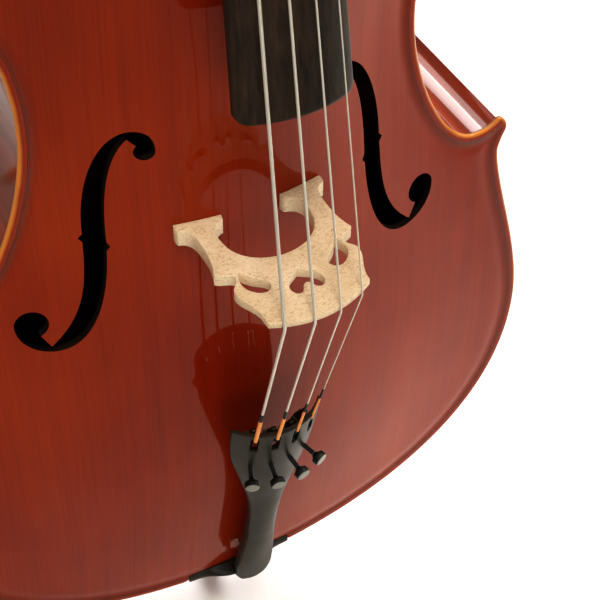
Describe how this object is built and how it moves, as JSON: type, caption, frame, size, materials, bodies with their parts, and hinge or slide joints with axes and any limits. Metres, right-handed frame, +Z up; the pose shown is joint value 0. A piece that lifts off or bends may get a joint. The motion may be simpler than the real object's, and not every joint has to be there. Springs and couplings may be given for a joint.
{
  "type": "cello",
  "caption": "Bowed string instrument with an arched hollow body, neck and scroll, tuning pegs, bridge, tailpiece with fine tuners and a sliding endpin.",
  "frame": {"origin": "middle of the underside of the rubber foot on the endpin, where the instrument meets the floor", "axes": "+Z up towards the scroll, -Y out of the front (belly side), +X towards the treble (A string) side"},
  "size_m": [0.427, 0.2593, 1.3173],
  "materials": {
    "belly_wood": "glossy red-brown varnish on spruce",
    "body_wood": "glossy red-brown varnish on maple",
    "neck_wood": "satin oiled maple",
    "inner_wood": "bare spruce and willow",
    "bridge_wood": "bare maple with fine flecks",
    "ebony": "satin dark wood",
    "purfling": "dyed wood inlay",
    "tail_plastic": "satin dark grey composite",
    "tuner_metal": "black coated steel with satin grey tops",
    "string_wire": "round wound steel with silk at the tail end",
    "ball_brass": "polished",
    "rod_steel": "brushed",
    "foot_rubber": "matte"
  },
  "bodies": {
    "body": {"belly": "belly_wood", "back_plate": "body_wood", "rib_upper_bass": "body_wood", "rib_upper_treble": "body_wood", "rib_c_bass": "body_wood", "rib_c_treble": "body_wood", "rib_lower_bass": "body_wood", "rib_lower_treble": "body_wood", "neck_block": "inner_wood", "end_block": "inner_wood", "corner_blocks_upper": "inner_wood", "corner_blocks_lower": "inner_wood", "linings_belly": "inner_wood", "linings_back": "inner_wood", "bass_bar": "inner_wood", "sound_post": "inner_wood", "belly_purfling": "purfling", "back_purfling": "purfling", "saddle": "ebony", "neck": "neck_wood", "fingerboard": "ebony", "nut": "ebony", "bridge": "bridge_wood", "tailpiece": "tail_plastic", "tail_cord": "foot_rubber", "lever_pins": "rod_steel", "string_c": "string_wire", "string_g": "string_wire", "string_d": "string_wire", "string_a": "string_wire", "ball_ends": "ball_brass", "endpin_socket": "ebony"},
    "c_peg": {"peg_c": "ebony", "winding_c": "string_wire"},
    "c_tuner_screw": {"tuner_screw_c": "tuner_metal"},
    "c_tuner_lever": {"tuner_lever_c": "tuner_metal"},
    "g_peg": {"peg_g": "ebony", "winding_g": "string_wire"},
    "g_tuner_screw": {"tuner_screw_g": "tuner_metal"},
    "g_tuner_lever": {"tuner_lever_g": "tuner_metal"},
    "d_peg": {"peg_d": "ebony", "winding_d": "string_wire"},
    "d_tuner_screw": {"tuner_screw_d": "tuner_metal"},
    "d_tuner_lever": {"tuner_lever_d": "tuner_metal"},
    "a_peg": {"peg_a": "ebony", "winding_a": "string_wire"},
    "a_tuner_screw": {"tuner_screw_a": "tuner_metal"},
    "a_tuner_lever": {"tuner_lever_a": "tuner_metal"},
    "endpin": {"endpin_rod": "rod_steel", "endpin_foot": "foot_rubber"},
    "endpin_thumb_screw": {"endpin_screw": "rod_steel"}
  },
  "joints": [
    {"name": "c_peg_turn", "type": "hinge", "parent": "body", "child": "c_peg", "pos_m": [0, -0.01475, 1.13495], "axis": [1, 0, 0], "continuous": true},
    {"name": "g_peg_turn", "type": "hinge", "parent": "body", "child": "g_peg", "pos_m": [0, 0.00608, 1.1942], "axis": [1, 0, 0], "continuous": true},
    {"name": "d_peg_turn", "type": "hinge", "parent": "body", "child": "d_peg", "pos_m": [0, 0.01354, 1.22435], "axis": [-1, 0, 0], "continuous": true},
    {"name": "a_peg_turn", "type": "hinge", "parent": "body", "child": "a_peg", "pos_m": [0, -0.00353, 1.16341], "axis": [-1, 0, 0], "continuous": true},
    {"name": "c_tuner_slide", "type": "slide", "parent": "body", "child": "c_tuner_screw", "axis": [0.3584, 0.9118, 0.2005], "range_m": [-0.002, 0.004]},
    {"name": "c_tuner_tilt", "type": "hinge", "parent": "body", "child": "c_tuner_lever", "pos_m": [-0.01542, -0.11511, 0.28146], "axis": [0.9336, -0.35, -0.077], "range_deg": [-4.9, 9.7]},
    {"name": "g_tuner_slide", "type": "slide", "parent": "body", "child": "g_tuner_screw", "axis": [0.1392, 0.9672, 0.2126], "range_m": [-0.002, 0.004]},
    {"name": "g_tuner_tilt", "type": "hinge", "parent": "body", "child": "g_tuner_lever", "pos_m": [-0.0053, -0.11914, 0.28157], "axis": [0.9903, -0.1359, -0.0299], "range_deg": [-4.9, 9.7]},
    {"name": "d_tuner_slide", "type": "slide", "parent": "body", "child": "d_tuner_screw", "axis": [-0.1392, 0.9672, 0.2126], "range_m": [-0.002, 0.004]},
    {"name": "d_tuner_tilt", "type": "hinge", "parent": "body", "child": "d_tuner_lever", "pos_m": [0.0053, -0.11914, 0.28157], "axis": [0.9903, 0.1359, 0.0299], "range_deg": [-4.9, 9.7]},
    {"name": "a_tuner_slide", "type": "slide", "parent": "body", "child": "a_tuner_screw", "axis": [-0.3584, 0.9118, 0.2005], "range_m": [-0.002, 0.004]},
    {"name": "a_tuner_tilt", "type": "hinge", "parent": "body", "child": "a_tuner_lever", "pos_m": [0.01542, -0.11511, 0.28146], "axis": [0.9336, 0.35, 0.077], "range_deg": [-4.9, 9.7]},
    {"name": "endpin_slide", "type": "slide", "parent": "body", "child": "endpin", "axis": [0, 0, -1], "range_m": [0, 0.3]},
    {"name": "endpin_screw_turn", "type": "hinge", "parent": "body", "child": "endpin_thumb_screw", "pos_m": [0, 0, 0.056], "axis": [1, 0, 0], "range_deg": [0, 720]}
  ],
  "couplings": [
    {"joint": "c_tuner_tilt", "follows": "c_tuner_slide", "rad_per_m": 41.667},
    {"joint": "g_tuner_tilt", "follows": "g_tuner_slide", "rad_per_m": 41.667},
    {"joint": "d_tuner_tilt", "follows": "d_tuner_slide", "rad_per_m": 41.667},
    {"joint": "a_tuner_tilt", "follows": "a_tuner_slide", "rad_per_m": 41.667}
  ]
}
